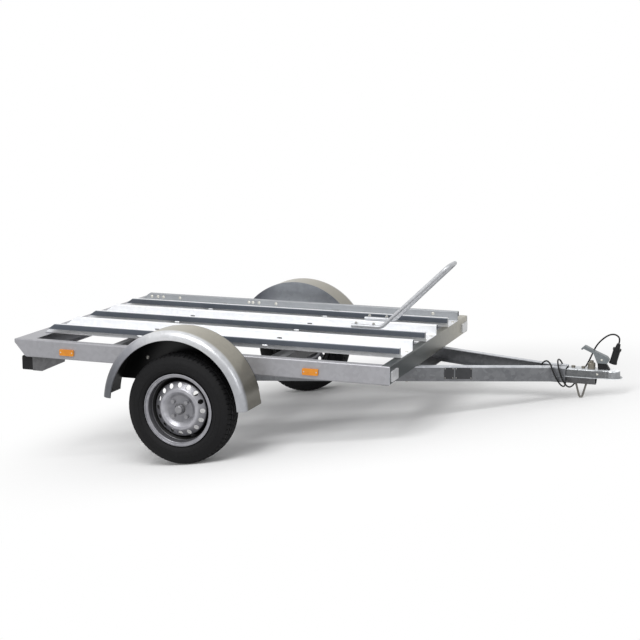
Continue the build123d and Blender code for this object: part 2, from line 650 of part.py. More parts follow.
# Wheels
seat = RIM_SEAT / 2
lip = RIM_FLANGE / 2
well = RIM_WELL / 2
half_rim = RIM_WIDTH / 2
half_tyre = TYRE_WIDTH / 2
disc_flange = well - RIM_SHEET + 0.5
disc_face = WHEEL_OFFSET + RIM_SHEET / 2
for side, hand in SIDES:
    hub_plane = Plane(origin=(0, hand * WHEEL_CENTRE, 0), x_dir=(1, 0, 0), z_dir=(0, hand, 0))
    profile = Plane(origin=(0, hand * WHEEL_CENTRE, 0), x_dir=(0, hand, 0), z_dir=(hand, 0, 0))
    spin = Axis((0, hand * WHEEL_CENTRE, 0), (0, 1, 0))

    # The tyre's section: across the wheel and out from the spin axis
    with BuildPart() as tyre:
        with BuildSketch(profile):
            with BuildLine():
                inner = seat + RIM_FIT
                Line((-half_rim + RIM_FIT, inner), (half_rim - RIM_FIT, inner))
                Line((half_rim - RIM_FIT, inner), (half_rim - RIM_FIT, lip + 4))
                ThreePointArc(
                    (half_rim - RIM_FIT, lip + 4),
                    (half_tyre - 1, (lip + TYRE_RADIUS) / 2 - 8),
                    (TREAD_WIDTH / 2 + 8, TYRE_RADIUS - 20),
                )
                ThreePointArc(
                    (TREAD_WIDTH / 2 + 8, TYRE_RADIUS - 20),
                    (TREAD_WIDTH / 2 + 2, TYRE_RADIUS - 8),
                    (TREAD_WIDTH / 2 - 8, TYRE_RADIUS - 3),
                )
                ThreePointArc(
                    (TREAD_WIDTH / 2 - 8, TYRE_RADIUS - 3),
                    (0, TYRE_RADIUS),
                    (-TREAD_WIDTH / 2 + 8, TYRE_RADIUS - 3),
                )
                ThreePointArc(
                    (-TREAD_WIDTH / 2 + 8, TYRE_RADIUS - 3),
                    (-TREAD_WIDTH / 2 - 2, TYRE_RADIUS - 8),
                    (-TREAD_WIDTH / 2 - 8, TYRE_RADIUS - 20),
                )
                ThreePointArc(
                    (-TREAD_WIDTH / 2 - 8, TYRE_RADIUS - 20),
                    (-half_tyre + 1, (lip + TYRE_RADIUS) / 2 - 8),
                    (-half_rim + RIM_FIT, lip + 4),
                )
                Line((-half_rim + RIM_FIT, lip + 4), (-half_rim + RIM_FIT, inner))
            make_face()
        revolve(axis=spin)
    keep(f"tyre_{side}", tyre.part)

    # The wheel: a rolled rim with a drop well, and a domed disc that falls back to the rim through
    # a ring of round vents, and to the bolts in a bowl
    with BuildPart() as wheel:
        with BuildSketch(profile):
            with BuildLine():
                FilletPolyline(
                    (-half_rim - 9, lip - 1),
                    (-half_rim - RIM_SHEET / 2, lip - 3),
                    (-half_rim - RIM_SHEET / 2, seat - RIM_SHEET / 2),
                    (-half_rim + 26, seat - RIM_SHEET / 2 - 2),
                    (-half_rim + 36, well - RIM_SHEET / 2),
                    (8, well - RIM_SHEET / 2),
                    (22, seat - RIM_SHEET / 2 - 2),
                    (half_rim + RIM_SHEET / 2, seat - RIM_SHEET / 2),
                    (half_rim + RIM_SHEET / 2, lip - 3),
                    (half_rim + 9, lip - 1),
                    radius=3,
                )
            trace(line_width=RIM_SHEET)
        revolve(axis=spin)
        with BuildSketch(profile):
            with BuildLine():
                FilletPolyline(
                    (2, disc_flange),
                    (16, disc_flange),
                    (23, disc_flange - 6),
                    (DISC_CREST, DISC_CREST_DIAMETER / 2 + 6),
                    (DISC_CREST, DISC_CREST_DIAMETER / 2 - 5),
                    (disc_face + 3, DISC_BOWL / 2),
                    (disc_face, DISC_BOWL / 2 - 6),
                    (disc_face, CAP_DIAMETER / 2 + 4),
                    radius=3.5,
                )
            trace(line_width=RIM_SHEET)
        revolve(axis=spin)
        with BuildSketch(hub_plane):
            with PolarLocations(VENT_CIRCLE / 2, VENT_COUNT):
                Circle(VENT_HOLE / 2)
            with PolarLocations(BOLT_CIRCLE / 2, BOLT_COUNT, start_angle=45):
                Circle(WHEEL_BOLT / 2 + 1)
        extrude(amount=half_rim, mode=Mode.SUBTRACT)
    keep(f"steel_wheel_{side}", wheel.part)

    # The hub: flange and bearing barrel on the stub axle, wheel bolts and dust cap
    with BuildPart() as hub:
        with BuildSketch(hub_plane.offset(WHEEL_OFFSET)):
            Circle(HUB_FLANGE / 2)
        extrude(amount=-HUB_FLANGE_SHEET)
        with BuildSketch(hub_plane.offset(WHEEL_OFFSET)):
            Circle(HUB_BODY / 2)
        extrude(amount=-HUB_DEPTH)
        with BuildSketch(hub_plane.offset(WHEEL_OFFSET)):
            Circle(CAP_DIAMETER / 2)
        extrude(amount=CAP_LENGTH, taper=CAP_TAPER)
        fillet(hub.part.edges().group_by(Axis.Y)[-1 if hand > 0 else 0], 5)
        with BuildSketch(hub_plane.offset(WHEEL_OFFSET)):
            with PolarLocations(BOLT_CIRCLE / 2, BOLT_COUNT, start_angle=45):
                Circle(WHEEL_BOLT / 2)
        extrude(amount=RIM_SHEET)
        with BuildSketch(hub_plane.offset(WHEEL_OFFSET + RIM_SHEET)):
            with PolarLocations(BOLT_CIRCLE / 2, BOLT_COUNT, start_angle=45):
                RegularPolygon(WHEEL_BOLT_HEAD / 2, 6)
        extrude(amount=WHEEL_BOLT)
        with BuildSketch(hub_plane.offset(WHEEL_OFFSET - HUB_DEPTH)):
            Circle(STUB / 2 + HUB_FIT)
        extrude(amount=STUB_END - WHEEL_CENTRE - WHEEL_OFFSET + HUB_DEPTH + 2, mode=Mode.SUBTRACT)
    keep(f"hub_{side}", hub.part)

# Fenders: a rolled band with a rounded outer lip and a hem, and a flat inner wall on the rail
fender_inside = HALF_FRAME
for side, hand in SIDES:
    arch_axis = Axis((FENDER_CENTRE_X, 0, FENDER_CENTRE_Z), (0, 1, 0))
    section = Plane(
        origin=(FENDER_CENTRE_X, 0, FENDER_CENTRE_Z), x_dir=(0, hand, 0), z_dir=(hand, 0, 0)
    )
    band = FENDER_RADIUS - FENDER_SHEET / 2
    with BuildPart() as fender:
        with BuildSketch(section):
            with BuildLine():
                FilletPolyline(
                    (fender_inside, band),
                    (FENDER_OUTSIDE, band),
                    (FENDER_OUTSIDE, band - FENDER_LIP_DROP),
                    (FENDER_OUTSIDE - FENDER_HEM, band - FENDER_LIP_DROP),
                    radius=[FENDER_BEAD, FENDER_SHEET + 1],
                )
            trace(line_width=FENDER_SHEET)
        revolve(axis=arch_axis, revolution_arc=360)
        with Locations((FENDER_CENTRE_X, hand * fender_inside, FENDER_CENTRE_Z)):
            Cylinder(
                FENDER_RADIUS,
                FENDER_SHEET,
                rotation=(-90 * hand, 0, 0),
                align=(Align.CENTER, Align.CENTER, Align.MIN),
            )
        with BuildSketch(Plane.XZ):
            with BuildLine():
                reach = 2 * FENDER_RADIUS
                front = math.radians(FENDER_FRONT_ANGLE)
                rear = math.radians(FENDER_REAR_ANGLE)
                Polyline(
                    (FENDER_CENTRE_X, FENDER_CENTRE_Z),
                    (FENDER_CENTRE_X + reach, FENDER_CENTRE_Z + reach * math.sin(front)),
                    (FENDER_CENTRE_X + reach, -reach),
                    (FENDER_CENTRE_X - reach, -reach),
                    (FENDER_CENTRE_X - reach, FENDER_CENTRE_Z + reach * math.sin(rear)),
                    close=True,
                )
            make_face()
        extrude(amount=2 * FRAME_WIDTH, both=True, mode=Mode.SUBTRACT)
        with Locations((FENDER_CENTRE_X, hand * fender_inside, FENDER_WALL_BOTTOM)):
            Box(
                2 * (FENDER_RADIUS - FENDER_SHEET),
                4 * FENDER_SHEET,
                FENDER_RADIUS,
                align=(Align.CENTER, Align.CENTER, Align.MAX),
                mode=Mode.SUBTRACT,
            )
    keep(f"fender_{side}", fender.part)

# Lamp brackets and rear lamps under the tail, each lens set in its housing's frame
lamp_front = LAMP_REAR + LAMP_DEPTH
lamp_bottom = LAMP_TOP - LAMP_HEIGHT
lamp_height = FRAME_BOTTOM - lamp_bottom
lamp_level = (FRAME_BOTTOM + lamp_bottom) / 2
for side, hand in SIDES:
    lamp_middle = hand * (LAMP_OUTER - LAMP_WIDTH / 2)
    with BuildPart() as bracket:
        with BuildSketch(Plane.XZ.offset(-hand * LAMP_OUTER)):
            with BuildLine():
                Polyline(
                    (lamp_front, FRAME_BOTTOM),
                    (lamp_front, lamp_bottom),
                    (lamp_front + BRACKET_HEEL, lamp_bottom),
                    (lamp_front + BRACKET_REACH, FRAME_BOTTOM - BRACKET_TOE),
                    (lamp_front + BRACKET_REACH, FRAME_BOTTOM),
                    close=True,
                )
            make_face()
        extrude(amount=hand * BRACKET_SHEET)
        with BuildSketch(Plane.YZ.offset(lamp_front)):
            with Locations((lamp_middle, lamp_level)):
                Rectangle(LAMP_WIDTH, lamp_height)
        extrude(amount=BRACKET_SHEET)
    keep(f"lamp_bracket_{side}", bracket.part)

    with BuildPart() as lamp:
        with BuildSketch(Plane.YZ.offset(LAMP_REAR)):
            with Locations((lamp_middle, lamp_level)):
                RectangleRounded(LAMP_WIDTH, lamp_height, 10)
        extrude(amount=LAMP_DEPTH)
        with BuildSketch(Plane.YZ.offset(LAMP_REAR)):
            with Locations((lamp_middle, lamp_level)):
                RectangleRounded(LAMP_WIDTH - 2 * LAMP_FRAME, lamp_height - 2 * LAMP_FRAME, 5)
        extrude(amount=LAMP_LENS, mode=Mode.SUBTRACT)
    keep(f"rear_lamp_{side}", lamp.part)

    with BuildPart() as lens:
        with BuildSketch(Plane.YZ.offset(LAMP_REAR)):
            with Locations((lamp_middle, lamp_level)):
                RectangleRounded(LAMP_WIDTH - 2 * LAMP_FRAME, lamp_height - 2 * LAMP_FRAME, 5)
        extrude(amount=LAMP_LENS)
        fillet(lens.part.edges().group_by(Axis.X)[0], 3)
    keep(f"lamp_lens_{side}", lens.part)

# Amber reflectors on the rails and white ones on the front crossmember
reflector_level = FRAME_BOTTOM + FRAME_HEIGHT / 2 - REFLECTOR_DROP
length, height, depth = SIDE_REFLECTOR
with BuildPart() as amber:
    for side, hand in SIDES:
        for place in SIDE_REFLECTOR_PLACES:
            with Locations((place, hand * (HALF_FRAME + depth / 2), reflector_level)):
                Box(length, depth, height)
    fillet(amber.part.edges().filter_by(Axis.Y), 4)
keep("side_reflectors", amber.part)

width, height, depth = FRONT_REFLECTOR
with BuildPart() as white:
    for side, hand in SIDES:
        front_place = hand * (HALF_FRAME - width / 2 - FRONT_REFLECTOR_INSET)
        with Locations((FRAME_FRONT + depth / 2, front_place, reflector_level)):
            Box(depth, width, height)
    fillet(white.part.edges().filter_by(Axis.X), 5)
keep("front_reflectors", white.part)

# Cable: out of the right beam, twice round the nose, up behind the handle, to the hanging plug.
# Its bends are measured from the beams' front end and the nose tube's axis.
CABLE_BENDS = [
    (-177, -60, 11),
    (-162, -30, 13),
    (-140, -12, 33),
    (-122, -10, 61),
    (-98, -28, 77),
    (-74, -58, 67),
    (-60, -68, 33),
    (-42, -66, -5),
    (-22, -54, -39),
    (-12, -16, -55),
    (-12, 24, -53),
    (-16, 56, -33),
    (-24, 68, 3),
    (-34, 64, 41),
    (-44, 38, 71),
    (-48, 0, 80),
    (-42, -38, 71),
    (-30, -64, 41),
    (-16, -68, 3),
    (0, -56, -33),
    (14, -24, -54),
    (24, 16, -56),
    (36, 52, -39),
    (54, 72, -5),
    (78, 74, 35),
    (100, 64, 77),
    (118, 48, 119),
    (136, 32, 157),
    (162, 16, 189),
    (192, 5, 215),
    (220, 0, 226),
    (244, 0, 219),
    (255, 0, 200),
    (249.5, 0, 178.5),
]
CABLE_ROUTE = [(BEAM_NOSE + x, y, nose_z + z) for x, y, z in CABLE_BENDS]


def tube_radii(points):
    """Arc radii that are as large as the two runs at each corner allow."""
    radii = []
    for before, here, after in zip(points, points[1:], points[2:]):
        come = Vector(*here) - Vector(*before)
        leave = Vector(*after) - Vector(*here)
        turn = math.radians(come.get_angle(leave))
        radii.append(0.45 * min(come.length, leave.length) / math.tan(turn / 2))
    return radii


cable_radii = tube_radii(CABLE_ROUTE)
with BuildPart() as cable:
    with BuildLine() as cable_line:
        FilletPolyline(*CABLE_ROUTE, radius=cable_radii)
    with BuildSketch(cable_line.line ^ 0):
        Circle(CABLE / 2)
    sweep()
keep("cable", cable.part)
cable_length = cable_line.wires()[0].length
cable_section = math.pi * CABLE**2 / 4
print("cable length", round(cable_length), "arc radii", [round(radius) for radius in cable_radii])
print("cable volume by section and length", round(cable.part.volume / (cable_section * cable_length), 4))

# Gland on the right beam's web, and the plug with its collar and skirt
with BuildPart() as gland:
    start = Vector(*CABLE_ROUTE[0])
    out = (start - Vector(*CABLE_ROUTE[1])).normalized()
    web_y = -(NOSE_HALF_WIDTH + spread_rate * (BEAM_JOIN - start.X) - SHEET)
    with BuildSketch(Plane(origin=start, z_dir=out)):
        Circle(CABLE)
    extrude(amount=(web_y + GLAND_SEAT - start.Y) / out.Y, taper=-8)
keep("cable_gland", gland.part)

plug_top = Vector(*CABLE_ROUTE[-1])
plug_axis = (plug_top - Vector(*CABLE_ROUTE[-2])).normalized()
with BuildPart() as plug:
    with BuildSketch(Plane(origin=plug_top, x_dir=(0, 1, 0), z_dir=plug_axis)):
        Circle(9)
    extrude(amount=24, taper=-9)
    with BuildSketch(Plane(origin=plug_top + plug_axis * 24, x_dir=(0, 1, 0), z_dir=plug_axis)):
        Circle(PLUG_DIAMETER / 2)
    extrude(amount=10)
    with BuildSketch(Plane(origin=plug_top + plug_axis * 34, x_dir=(0, 1, 0), z_dir=plug_axis)):
        Circle(PLUG_DIAMETER / 2 - 3)
    extrude(amount=62)
    with BuildSketch(Plane(origin=plug_top + plug_axis * 96, x_dir=(0, 1, 0), z_dir=plug_axis)):
        Circle(PLUG_DIAMETER / 2 - 1)
        Circle(PLUG_DIAMETER / 2 - 5, mode=Mode.SUBTRACT)
    extrude(amount=8)
keep("plug", plug.part)

# Set the parked trailer on the floor, with the origin under the middle of all but the cable
CORD_PIECES = ("cable", "plug")
standing = Compound(children=[Compound(solid.wrapped) for name, solid in pieces.items()
                              if name not in CORD_PIECES])
box = standing.bounding_box()
set_down = Location((-box.center().X, -box.center().Y, -box.min.Z))
for name, solid in pieces.items():
    placed = solid.moved(set_down)
    placed.label = name
    export_step(placed, f"parts/{name}.step")


def parked(x, y, z):
    """Where a point of the level trailer lies in metres once it is parked."""
    point = Vector(x, y, z).rotate(Axis.Y, PARK_ANGLE) + Vector(*set_down.position)
    return [round(value / 1000, 5) for value in point]


print("park angle", round(PARK_ANGLE, 3))
for name, point in {
    "wheel left": (0, WHEEL_CENTRE, 0),
    "wheel right": (0, -WHEEL_CENTRE, 0),
    "ball": (BALL_X, 0, COUPLING_RIM),
    "channel floor centre": (0, 0, FRAME_TOP + CHANNEL_SHEET),
    "channel floor left": (0, CHANNEL_SPACING, FRAME_TOP + CHANNEL_SHEET),
    "channel floor right": (0, -CHANNEL_SPACING, FRAME_TOP + CHANNEL_SHEET),
    "plug face": tuple(plug_top + plug_axis * 104),
}.items():
    print(name, parked(*point))
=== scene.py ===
import math

import bpy
from mathutils import Matrix, Vector


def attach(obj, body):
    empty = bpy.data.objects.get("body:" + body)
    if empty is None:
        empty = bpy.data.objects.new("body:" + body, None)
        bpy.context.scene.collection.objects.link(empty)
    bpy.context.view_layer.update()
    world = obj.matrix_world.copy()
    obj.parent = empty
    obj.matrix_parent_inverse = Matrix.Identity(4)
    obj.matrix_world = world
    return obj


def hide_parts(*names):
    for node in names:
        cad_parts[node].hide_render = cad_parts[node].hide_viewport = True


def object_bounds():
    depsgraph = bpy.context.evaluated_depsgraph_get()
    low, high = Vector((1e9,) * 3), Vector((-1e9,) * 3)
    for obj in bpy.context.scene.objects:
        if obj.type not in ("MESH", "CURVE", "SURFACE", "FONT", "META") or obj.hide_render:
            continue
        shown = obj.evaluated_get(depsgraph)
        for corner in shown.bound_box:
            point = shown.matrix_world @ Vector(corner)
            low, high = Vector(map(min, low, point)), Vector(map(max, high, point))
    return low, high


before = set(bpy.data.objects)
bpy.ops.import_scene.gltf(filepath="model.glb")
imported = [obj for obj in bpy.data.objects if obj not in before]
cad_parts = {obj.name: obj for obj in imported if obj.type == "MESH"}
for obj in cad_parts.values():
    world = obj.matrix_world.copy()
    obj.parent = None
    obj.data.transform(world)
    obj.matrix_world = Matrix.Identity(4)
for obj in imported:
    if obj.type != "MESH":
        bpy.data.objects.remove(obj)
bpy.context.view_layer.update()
scene = bpy.context.scene

# Places are given in metres on the level trailer, from the middle of its axle line: x ahead, y to
# the left and z up. The trailer stands tipped nose down about that line.
PARK_ANGLE = math.radians(9.088)
AXLE = Vector((-0.51621, 0.0, 0.2735))
TIP = Matrix.Rotation(PARK_ANGLE, 3, "Y")
UP = TIP @ Vector((0, 0, 1))
AHEAD = TIP @ Vector((1, 0, 0))

SIDES = (("left", 1), ("right", -1))
HANDS = (1, -1)
UPWARD = (0, 0, 1)
DOWNWARD = (0, 0, -1)
OUTWARD = (0, 1, 0)
FORWARD = (1, 0, 0)
BACKWARD = (-1, 0, 0)

FRAME_FRONT = 1.020
HALF_FRAME = 0.730
WHEEL_Y = 0.831
CHANNEL_CENTRES = (("left", 0.435), ("centre", 0.0), ("right", -0.435))
CHANNEL_FLOOR = 0.260
FLANGE_UNDERSIDE = 0.255


def parked(x, y, z):
    """A place on the level trailer, as the place it has on the parked one."""
    return TIP @ Vector((x, y, z)) + AXLE


# Middles of the axle and of the fenders' arches, as lines straight across the trailer
HUB_LINE = (AXLE.x, 0.0, AXLE.z)
FENDER_LINE = parked(-0.014, 0.0, 0.008)

# Camera at the photograph's place and angle
PHOTO_WIDTH = 640.0
FOCAL_PIXELS = 1397.0
SENSOR_WIDTH = 36.0
CAMERA_PLACE = (2.9273, -6.8289, 1.6366)
YAW = math.radians(-20.27)
PITCH = math.radians(-10.27)
ROLL = math.radians(-0.04)


def photo_camera():
    data = bpy.data.cameras.new("camera")
    data.sensor_width = SENSOR_WIDTH
    data.lens = SENSOR_WIDTH * FOCAL_PIXELS / PHOTO_WIDTH
    camera = bpy.data.objects.new("camera", data)
    scene.collection.objects.link(camera)
    ahead = math.cos(PITCH)
    look = Vector((math.sin(YAW) * ahead, math.cos(YAW) * ahead, math.sin(PITCH)))
    right = Vector((math.cos(YAW), -math.sin(YAW), 0.0))
    up = right.cross(look)
    turned_right = math.cos(ROLL) * right + math.sin(ROLL) * up
    turned_up = math.cos(ROLL) * up - math.sin(ROLL) * right
    axes = Matrix((turned_right, turned_up, -look)).transposed()
    camera.matrix_world = (TIP @ axes).to_4x4()
    camera.location = parked(*CAMERA_PLACE)
    scene.camera = camera


photo_camera()


# Shader nodes that the materials share
def new_material(name):
    """A material with its node tree and its shader."""
    material = bpy.data.materials.new(name)
    material.use_nodes = True
    graph = material.node_tree
    return material, graph, graph.nodes.get("Principled BSDF")


def object_place(graph):
    """Where a point lies, in the parked trailer's frame."""
    return graph.nodes.new("ShaderNodeTexCoord").outputs["Object"]


def calculate(graph, operation, *values):
    """The result of a maths node. Each value is a socket or a number."""
    node = graph.nodes.new("ShaderNodeMath")
    node.operation = operation
    for socket, value in zip(node.inputs, values):
        if isinstance(value, bpy.types.NodeSocket):
            graph.links.new(value, socket)
        else:
            socket.default_value = value
    return node.outputs[0]


def vector_maths(graph, operation, vector, *fixed):
    """A vector maths node on a socket and, where the operation takes one, a fixed vector."""
    node = graph.nodes.new("ShaderNodeVectorMath")
    node.operation = operation
    graph.links.new(vector, node.inputs[0])
    for socket, value in zip(node.inputs[1:], fixed):
        socket.default_value = value
    return node


def spread(graph, value, low, high, start=0.0, end=1.0, smooth=False):
    """The value as start where it is at low and as end where it is at high."""
    node = graph.nodes.new("ShaderNodeMapRange")
    if smooth:
        node.interpolation_type = "SMOOTHSTEP"
    limits = {"From Min": low, "From Max": high, "To Min": start, "To Max": end}
    for name, limit in limits.items():
        node.inputs[name].default_value = limit
    graph.links.new(value, node.inputs["Value"])
    return node.outputs["Result"]


def ramp(graph, value, stops):
    """The colour of the value on a ramp. Stops are (place, colour)."""
    node = graph.nodes.new("ShaderNodeValToRGB")
    elements = node.color_ramp.elements
    while len(elements) < len(stops):
        elements.new(0.5)
    for element, (place, colour) in zip(elements, stops):
        element.position = place
        element.color = (*colour, 1.0)
    graph.links.new(value, node.inputs["Fac"])
    return node.outputs["Color"]


# Measures, which tell a material where on the trailer a point lies
def across(graph, centre, near, far):
    """How far a point lies from a line along the trailer, as 0 at near and 1 at far."""
    split = graph.nodes.new("ShaderNodeSeparateXYZ")
    graph.links.new(object_place(graph), split.inputs[0])
    off = calculate(graph, "SUBTRACT", split.outputs["Y"], centre)
    return spread(graph, calculate(graph, "ABSOLUTE", off), near, far)


def toward(graph, direction, low, high):
    """How far up or ahead a point lies on the level trailer, as 0 at low and 1 at high."""
    rise = vector_maths(graph, "DOT_PRODUCT", object_place(graph), direction)
    start = direction.dot(AXLE)
    return spread(graph, rise.outputs["Value"], low + start, high + start)


def from_line(graph, centre, near, far):
    """How far a point lies from a line straight across the trailer, as 0 at near and 1 at far."""
    flat = vector_maths(graph, "MULTIPLY", object_place(graph), (1.0, 0.0, 1.0))
    reach = vector_maths(graph, "DISTANCE", flat.outputs["Vector"], centre)
    return spread(graph, reach.outputs["Value"], near, far)


# How far from the middle of a fender's band, as a share of its width, its two sides begin
BESIDE_BAND = 0.499


def under_arch(graph, near, far, wall, edge):
    """0 on a fender's underside, and 1 on its upper face, inner wall and rolled edge."""
    upper = from_line(graph, FENDER_LINE, near, far)
    width = across(graph, 0.0, wall, edge)
    off = calculate(graph, "ABSOLUTE", calculate(graph, "SUBTRACT", width, 0.5))
    beside = calculate(graph, "GREATER_THAN", off, BESIDE_BAND)
    return calculate(graph, "MAXIMUM", upper, beside)


# Surfaces. Their zones are (measure, its limits, stops): each multiplies the colour by a ramp.
def tint(graph, colour, shade):
    """The colour times the shade."""
    mix = graph.nodes.new("ShaderNodeMix")
    mix.data_type = "RGBA"
    mix.blend_type = "MULTIPLY"
    mix.inputs["Factor"].default_value = 1.0
    graph.links.new(colour, mix.inputs["A"])
    graph.links.new(shade, mix.inputs["B"])
    return mix.outputs["Result"]


def finish(graph, shader, pattern, tones, rough, metallic, grain, depth, zones):
    """Colour, gloss and a fine grain that follow one pattern."""
    colour = ramp(graph, pattern, tones)
    for measure, limits, stops in zones:
        colour = tint(graph, colour, ramp(graph, measure(graph, *limits), stops))
    graph.links.new(colour, shader.inputs["Base Color"])
    roughness = spread(graph, pattern, 0.0, 1.0, *rough)
    graph.links.new(roughness, shader.inputs["Roughness"])
    shader.inputs["Metallic"].default_value = metallic
    bump = graph.nodes.new("ShaderNodeBump")
    bump.inputs["Strength"].default_value = grain
    bump.inputs["Distance"].default_value = depth
    graph.links.new(pattern, bump.inputs["Height"])
    graph.links.new(bump.outputs["Normal"], shader.inputs["Normal"])


def noise(graph, scale, detail):
    """Soft clouds."""
    node = graph.nodes.new("ShaderNodeTexNoise")
    node.inputs["Scale"].default_value = scale
    node.inputs["Detail"].default_value = detail
    graph.links.new(object_place(graph), node.inputs["Vector"])
    return node.outputs["Fac"]


CLOUD_SHARE = 0.6


def spangled(graph, scale):
    """Cells of slightly different grey, mixed with soft clouds."""
    cells = graph.nodes.new("ShaderNodeTexVoronoi")
    cells.inputs["Scale"].default_value = scale
    graph.links.new(object_place(graph), cells.inputs["Vector"])
    grey_of_cell = graph.nodes.new("ShaderNodeSeparateColor")
    graph.links.new(cells.outputs["Color"], grey_of_cell.inputs["Color"])
    mix = graph.nodes.new("ShaderNodeMix")
    mix.data_type = "FLOAT"
    mix.inputs[0].default_value = CLOUD_SHARE
    graph.links.new(grey_of_cell.outputs[0], mix.inputs[2])
    graph.links.new(noise(graph, scale=6.0, detail=5.0), mix.inputs[3])
    return mix.outputs[0]


def galvanised(name, low, high, metallic=0.6, rough=(0.34, 0.5), spangle=55.0, zones=()):
    """Hot-dip or plated zinc, between a low and a high colour."""
    material, graph, shader = new_material(name)
    pattern = spangled(graph, spangle)
    tones = [(0.2, low), (0.8, high)]
    finish(graph, shader, pattern, tones, rough, metallic, grain=0.03, depth=0.001, zones=zones)
    return material


def plain(name, low, high, rough, metallic=0.0, scale=40.0, grain=0.05, zones=()):
    """A moulded, painted or cast surface with slight colour and gloss changes."""
    material, graph, shader = new_material(name)
    pattern = noise(graph, scale, detail=6.0)
    tones = [(0.3, low), (0.7, high)]
    finish(graph, shader, pattern, tones, rough, metallic, grain, depth=0.0005, zones=zones)
    return material


def grey(level):
    return (level, level, level)


def bands(*rows):
    """Stops of a ramp that holds each row's colour. Rows are (from, to, colour)."""
    return [(place, colour) for start, end, colour in rows for place in (start, end)]


WHITE = grey(1.0)

# Each group of stops follows the span in metres over which its measure runs from 0 to 1.
# Across a channel: bright inside, painted shade on the lips and their turned-down edges
CHANNEL_SPAN = (0.090, 0.125)
CHANNEL_LIP_SHADE = bands((0.0, 0.80, WHITE), (0.86, 1.0, (0.12, 0.135, 0.16)))
# Painted shade makes the left channel's outer wall darker than the rest
LEFT_WALL_SPAN = (0.480, 0.580)
LEFT_WALL_SHADE = bands((0.0, 0.5, WHITE), (0.52, 1.0, (0.38, 0.39, 0.40)))
# Across a fender: a wall, darker toward the frame, painted shade toward the wheel, a warm band of
# painted reflection and a bright rolled edge
FENDER_SPAN = (HALF_FRAME, 0.926)
FENDER_ZONES = bands(
    (0.0, 0.003, (0.50, 0.52, 0.55)),
    (0.006, 0.018, grey(0.10)),
    (0.022, 0.78, (0.50, 0.46, 0.365)),
    (0.88, 1.0, WHITE),
)
# Painted shade on a fender's underside, up to its upper face, between its wall and its rolled edge
ARCH_SPAN = (0.3810, 0.3866)
BAND_SPAN = (0.7306, 0.893)
FENDER_UNDERSIDE_SHADE = bands((0.0, 0.48, grey(0.13)), (0.52, 1.0, WHITE))
# Along a fender: painted shade at the rear, a painted highlight on top, less so at the front
FENDER_RUN_SPAN = (-0.42, 0.40)
FENDER_RUN_SHADE_AND_HIGHLIGHT = [
    (0.0, (0.14, 0.145, 0.155)),
    (0.10, (0.20, 0.205, 0.22)),
    (0.22, (0.45, 0.45, 0.48)),
    (0.36, grey(0.92)),
    (0.55, grey(0.92)),
    (0.72, grey(0.74)),
    (1.0, (0.50, 0.51, 0.53)),
]
# Along the front crossmember: painted shade at its right end and a warm painted reflection at its left
CROSSMEMBER_SPAN = (0.0, 2 * HALF_FRAME)
CROSSMEMBER_SHADE_AND_REFLECTION = [
    (0.0, (0.20, 0.235, 0.25)),
    (0.40, (0.44, 0.47, 0.46)),
    (1.0, (1.45, 1.38, 1.18)),
]
# Up the coupling: painted highlights on the flange and the top, with plain sides between
COUPLING_SPAN = (0.120, 0.165)
COUPLING_HIGHLIGHTS = bands((0.0, 0.12, grey(4.0)), (0.16, 0.82, WHITE), (0.90, 1.0, grey(4.0)))
# Along the coupling: a painted highlight over the ball, less so at the front edge
NOSE_SPAN = (1.88, 2.0)
NOSE_HIGHLIGHT = [*bands((0.0, 0.25, WHITE), (0.6, 0.85, grey(2.2))), (1.0, grey(1.2))]
# Up a beam: a painted highlight makes its upper face brighter than its sides
UPPER_FACE_SPAN = (0.155, 0.166)
UPPER_FACE_HIGHLIGHT = bands((0.0, 0.40, WHITE), (0.50, 1.0, grey(3.2)))
# Across a wheel: painted shade behind its disc
WHEEL_SPAN = (WHEEL_Y, 0.871)
WHEEL_BACK_SHADE = bands((0.0, 0.50, grey(0.07)), (0.62, 1.0, WHITE))
# Out from a hub: darker toward the middle, a painted highlight on the disc's crest, painted shade in the
# gap round it and a painted highlight at the rim's edge
RADIUS_SPAN = (0.0, 0.180)
RADIUS_SHADE_AND_HIGHLIGHTS = [
    (0.0, grey(0.80)),
    (0.36, grey(0.85)),
    (0.46, grey(1.45)),
    (0.54, grey(1.45)),
    (0.60, WHITE),
    (0.73, WHITE),
    (0.76, grey(0.10)),
    (0.85, grey(0.10)),
    (0.89, grey(0.85)),
    (0.96, grey(1.30)),
    (1.0, grey(1.30)),
]
# Across a rear lamp's lens: clear inside, red in the middle, amber outside
LENS_SPAN = (0.502, 0.712)
LENS_ZONES = bands((0.0, 0.22, WHITE), (0.23, 0.68, (0.62, 0.03, 0.025)), (0.69, 1.0, (1.0, 0.42, 0.03)))


def channel_look(side, centre):
    # Painted shade on the channel's lips
    zones = [(across, (centre, *CHANNEL_SPAN), CHANNEL_LIP_SHADE)]
    # The left channel also gets painted shade on its outer wall
    if side == "left":
        zones.append((across, (0.0, *LEFT_WALL_SPAN), LEFT_WALL_SHADE))
    return galvanised(
        f"channel_zinc_{side}",
        (0.84, 0.85, 0.87),
        (0.93, 0.94, 0.96),
        metallic=0.3,
        rough=(0.36, 0.48),
        zones=zones,
    )


